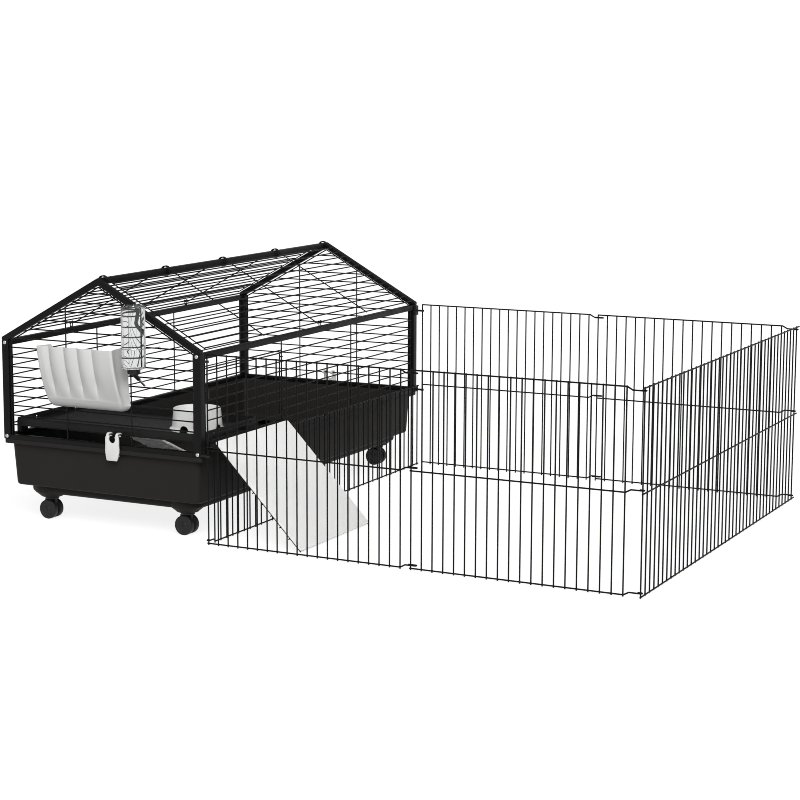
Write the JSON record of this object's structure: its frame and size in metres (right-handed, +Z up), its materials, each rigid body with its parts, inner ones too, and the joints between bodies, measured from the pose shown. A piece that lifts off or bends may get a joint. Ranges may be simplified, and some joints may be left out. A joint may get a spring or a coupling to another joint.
{
  "type": "small animal cage",
  "caption": "Wheeled pet cage with a deep tray, gabled wire top with opening roof panels, side door with ramp, shelf, feeders and a folding wire run.",
  "frame": {"origin": "floor level under the middle of the whole object's bounding box", "axes": "+Z up, +Y along the ridge away from the hay feeder end, +X from the cage towards the run"},
  "size_m": [1.732, 1.2912, 0.6462],
  "materials": {
    "tray_plastic": "charcoal moulded plastic with a fine grain",
    "black_tube": "black powder coat on square steel tube",
    "black_wire": "black coated welded wire",
    "pen_wire": "black coated welded wire",
    "black_plastic": "black moulded plastic",
    "black_gloss": "black glossy moulded plastic",
    "white_plastic": "white satin moulded plastic",
    "ramp_board": "off-white sheet",
    "clear_bottle": "clear blown plastic",
    "steel": "stainless steel",
    "zinc_screw": "zinc plated",
    "clip_plastic": "pale grey moulded plastic",
    "caster_plastic": "black moulded plastic",
    "caster_tread": "black moulded wheels on a steel pin"
  },
  "bodies": {
    "cage": {"base_rails": "black_tube", "bottle_cap": "black_gloss", "bottle_hanger": "steel", "door_surround_wires": "black_wire", "eave_tube_left": "black_tube", "eave_tube_right": "black_tube", "food_bowl": "white_plastic", "frame_screws": "zinc_screw", "gable_wires_far": "black_wire", "gable_wires_near": "black_wire", "hay_feeder": "white_plastic", "inner_ramp": "white_plastic", "pen_brackets": "black_plastic", "pen_low_panel_1": "pen_wire", "platform": "black_plastic", "post_far_left": "black_tube", "post_far_right": "black_tube", "post_near_left": "black_tube", "post_near_right": "black_tube", "rafter_far_left": "black_tube", "rafter_far_right": "black_tube", "rafter_near_left": "black_tube", "rafter_near_right": "black_tube", "ridge_tube": "black_tube", "sipper_tube": "steel", "tray": "tray_plastic", "wall_wires_left": "black_wire", "wall_wires_right": "black_wire", "water_bottle": "clear_bottle"},
    "side_door": {"side_door": "black_wire"},
    "door_latch": {"door_latch": "black_plastic"},
    "roof_left": {"roof_panel_left": "black_wire", "roof_loops_left": "black_wire"},
    "roof_right": {"roof_panel_right": "black_wire", "roof_loops_right": "black_wire"},
    "roof_latch_right": {"roof_latch_right": "black_wire"},
    "roof_latch_left_near": {"roof_latch_left_near": "black_wire"},
    "roof_latch_left_far": {"roof_latch_left_far": "black_wire"},
    "outer_ramp": {"outer_ramp_board": "ramp_board", "outer_ramp_frame": "black_wire"},
    "tray_clip_near": {"tray_clip_near": "clip_plastic"},
    "tray_clip_far": {"tray_clip_far": "clip_plastic"},
    "sipper_ball": {"sipper_ball": "steel"},
    "pen_near_1": {"pen_near_panel_1": "pen_wire"},
    "pen_near_2": {"pen_near_panel_2": "pen_wire"},
    "pen_right_1": {"pen_right_panel_1": "pen_wire"},
    "pen_back_1": {"pen_back_panel_1": "pen_wire"},
    "pen_back_2": {"pen_back_panel_2": "pen_wire"},
    "pen_right_2": {"pen_right_panel_2": "pen_wire"},
    "pen_low_2": {"pen_low_panel_2": "pen_wire"},
    "caster_near_left": {"caster_fork_near_left": "caster_plastic"},
    "wheels_near_left": {"caster_wheels_near_left": "caster_tread"},
    "caster_near_right": {"caster_fork_near_right": "caster_plastic"},
    "wheels_near_right": {"caster_wheels_near_right": "caster_tread"},
    "caster_far_left": {"caster_fork_far_left": "caster_plastic"},
    "wheels_far_left": {"caster_wheels_far_left": "caster_tread"},
    "caster_far_right": {"caster_fork_far_right": "caster_plastic"},
    "wheels_far_right": {"caster_wheels_far_right": "caster_tread"}
  },
  "joints": [
    {"name": "side_door_hinge", "type": "hinge", "parent": "cage", "child": "side_door", "pos_m": [-0.28021, -0.1484, 0.35], "axis": [0, 0, 1], "range_deg": [0, 100]},
    {"name": "door_latch_turn", "type": "hinge", "parent": "side_door", "child": "door_latch", "pos_m": [-0.28021, -0.5164, 0.3635], "axis": [0, 0, 1], "range_deg": [0, 90]},
    {"name": "roof_left_hinge", "type": "hinge", "parent": "cage", "child": "roof_left", "pos_m": [-0.56901, 0.0396, 0.6325], "axis": [0, 1, 0], "range_deg": [0, 90]},
    {"name": "roof_right_hinge", "type": "hinge", "parent": "cage", "child": "roof_right", "pos_m": [-0.56901, 0.0396, 0.6325], "axis": [0, -1, 0], "range_deg": [0, 90]},
    {"name": "roof_latch_right_swing", "type": "hinge", "parent": "roof_right", "child": "roof_latch_right", "pos_m": [-0.2762, 0.0536, 0.48217], "axis": [0, -1, 0], "range_deg": [0, 150]},
    {"name": "roof_latch_left_near_swing", "type": "hinge", "parent": "roof_left", "child": "roof_latch_left_near", "pos_m": [-0.86182, -0.2604, 0.48217], "axis": [0, 1, 0], "range_deg": [0, 150]},
    {"name": "roof_latch_left_far_swing", "type": "hinge", "parent": "roof_left", "child": "roof_latch_left_far", "pos_m": [-0.86182, 0.3116, 0.48217], "axis": [0, 1, 0], "range_deg": [0, 150]},
    {"name": "outer_ramp_hinge", "type": "hinge", "parent": "cage", "child": "outer_ramp", "pos_m": [-0.27771, -0.3549, 0.247], "axis": [0, -1, 0], "range_deg": [0, 50]},
    {"name": "tray_clip_near_hinge", "type": "hinge", "parent": "cage", "child": "tray_clip_near", "pos_m": [-0.52901, -0.5519, 0.251], "axis": [-1, 0, 0], "range_deg": [0, 100]},
    {"name": "tray_clip_far_hinge", "type": "hinge", "parent": "cage", "child": "tray_clip_far", "pos_m": [-0.56401, 0.6311, 0.251], "axis": [1, 0, 0], "range_deg": [0, 100]},
    {"name": "sipper_ball_lift", "type": "slide", "parent": "cage", "child": "sipper_ball", "axis": [0, -0.8, 0.6], "range_m": [0, 0.0015]},
    {"name": "pen_near_1_hinge", "type": "hinge", "parent": "cage", "child": "pen_near_1", "pos_m": [-0.25331, -0.5588, 0.236], "axis": [0, 0, 1], "range_deg": [-90, 0]},
    {"name": "pen_near_2_hinge", "type": "hinge", "parent": "pen_near_1", "child": "pen_near_2", "pos_m": [0.29669, -0.5588, 0.236], "axis": [0, 0, 1], "range_deg": [-90, 0]},
    {"name": "pen_right_1_hinge", "type": "hinge", "parent": "pen_near_2", "child": "pen_right_1", "pos_m": [0.86044, -0.5588, 0.236], "axis": [0, 0, 1], "range_deg": [-90, 0]},
    {"name": "pen_back_1_hinge", "type": "hinge", "parent": "cage", "child": "pen_back_1", "pos_m": [-0.24831, 0.6288, 0.236], "axis": [0, 0, 1], "range_deg": [0, 90]},
    {"name": "pen_back_2_hinge", "type": "hinge", "parent": "pen_back_1", "child": "pen_back_2", "pos_m": [0.29669, 0.6288, 0.236], "axis": [0, 0, 1], "range_deg": [0, 90]},
    {"name": "pen_right_2_hinge", "type": "hinge", "parent": "pen_back_2", "child": "pen_right_2", "pos_m": [0.86044, 0.6288, 0.236], "axis": [0, 0, 1], "range_deg": [0, 90]},
    {"name": "pen_low_2_hinge", "type": "hinge", "parent": "cage", "child": "pen_low_2", "pos_m": [-0.25331, 0.0376, 0.118], "axis": [0, 0, 1], "range_deg": [-90, 0]},
    {"name": "caster_near_left_swivel", "type": "hinge", "parent": "cage", "child": "caster_near_left", "pos_m": [-0.77601, -0.4814, 0.06], "axis": [0, 0, 1], "continuous": true},
    {"name": "wheels_near_left_spin", "type": "hinge", "parent": "caster_near_left", "child": "wheels_near_left", "pos_m": [-0.77901, -0.4814, 0.025], "axis": [0, 1, 0], "continuous": true},
    {"name": "caster_near_right_swivel", "type": "hinge", "parent": "cage", "child": "caster_near_right", "pos_m": [-0.36201, -0.4814, 0.06], "axis": [0, 0, 1], "continuous": true},
    {"name": "wheels_near_right_spin", "type": "hinge", "parent": "caster_near_right", "child": "wheels_near_right", "pos_m": [-0.36501, -0.4814, 0.025], "axis": [0, 1, 0], "continuous": true},
    {"name": "caster_far_left_swivel", "type": "hinge", "parent": "cage", "child": "caster_far_left", "pos_m": [-0.77601, 0.5606, 0.06], "axis": [0, 0, 1], "continuous": true},
    {"name": "wheels_far_left_spin", "type": "hinge", "parent": "caster_far_left", "child": "wheels_far_left", "pos_m": [-0.77901, 0.5606, 0.025], "axis": [0, 1, 0], "continuous": true},
    {"name": "caster_far_right_swivel", "type": "hinge", "parent": "cage", "child": "caster_far_right", "pos_m": [-0.36201, 0.5606, 0.06], "axis": [0, 0, 1], "continuous": true},
    {"name": "wheels_far_right_spin", "type": "hinge", "parent": "caster_far_right", "child": "wheels_far_right", "pos_m": [-0.36501, 0.5606, 0.025], "axis": [0, 1, 0], "continuous": true}
  ]
}
